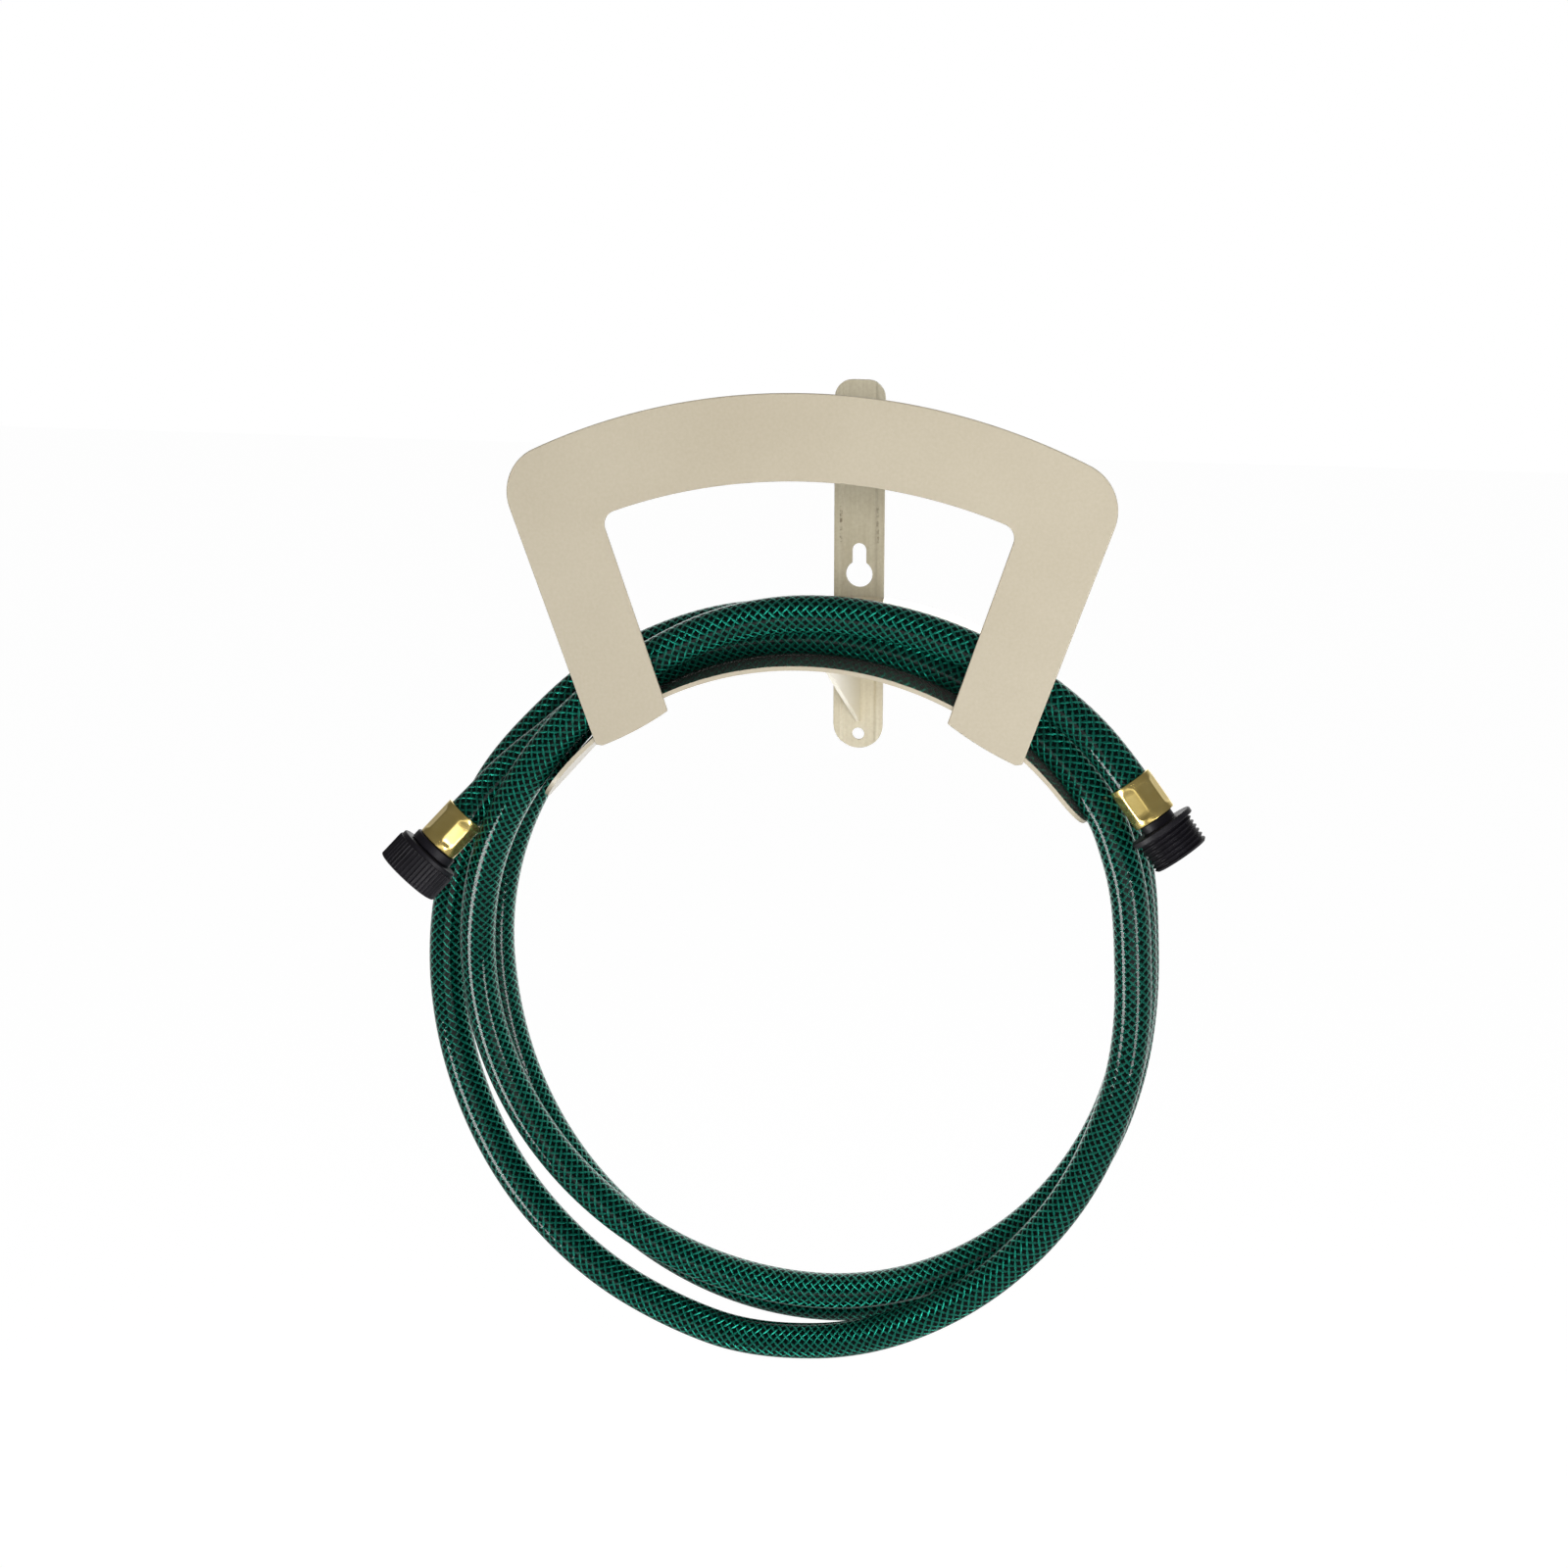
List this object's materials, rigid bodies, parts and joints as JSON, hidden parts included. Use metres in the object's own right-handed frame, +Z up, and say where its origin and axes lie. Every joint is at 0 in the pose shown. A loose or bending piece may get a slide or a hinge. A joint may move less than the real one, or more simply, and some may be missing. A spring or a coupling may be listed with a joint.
{
  "type": "wall hose hanger",
  "caption": "Wall hanger for a garden hose: arched front plate, curved saddle on a braced wall strap, and a braided hose hung in loose turns with a male and a swivelling female end.",
  "frame": {"origin": "on the flat back of the wall strap, in the wall plane, on its centre line, 16.4 mm above the lower screw hole's centre", "axes": "+X to the right as seen from the front, +Y into the wall, +Z up; the front plate faces -Y"},
  "size_m": [0.3829, 0.1644, 0.4727],
  "materials": {
    "tan_steel": "tan powder coat on pressed sheet steel, satin",
    "strap_steel": "tan powder coat on the pressed strap, satin, slightly yellower",
    "green_hose": "clear glossy vinyl over a green braid on a dark green tube",
    "brass": "bright pressed brass",
    "black_plastic": "moulded black plastic, satin",
    "washer_rubber": "moulded rubber, matt"
  },
  "bodies": {
    "hanger": {"front_plate": "tan_steel", "saddle": "tan_steel", "wall_strap": "strap_steel", "saddle_brace": "tan_steel"},
    "hose_coil": {"hose": "green_hose", "male_ferrule": "brass", "female_ferrule": "brass", "male_fitting": "black_plastic", "female_stem": "black_plastic"},
    "nut": {"swivel_nut": "black_plastic", "hose_washer": "washer_rubber"}
  },
  "joints": [
    {"name": "hose_lift", "type": "slide", "parent": "hanger", "child": "hose_coil", "axis": [0, 0, 1], "range_m": [0, 0.08]},
    {"name": "nut_spin", "type": "hinge", "parent": "hose_coil", "child": "nut", "pos_m": [-0.18175, -0.13947, -0.04632], "axis": [-0.641, -0.3104, -0.702], "continuous": true}
  ]
}
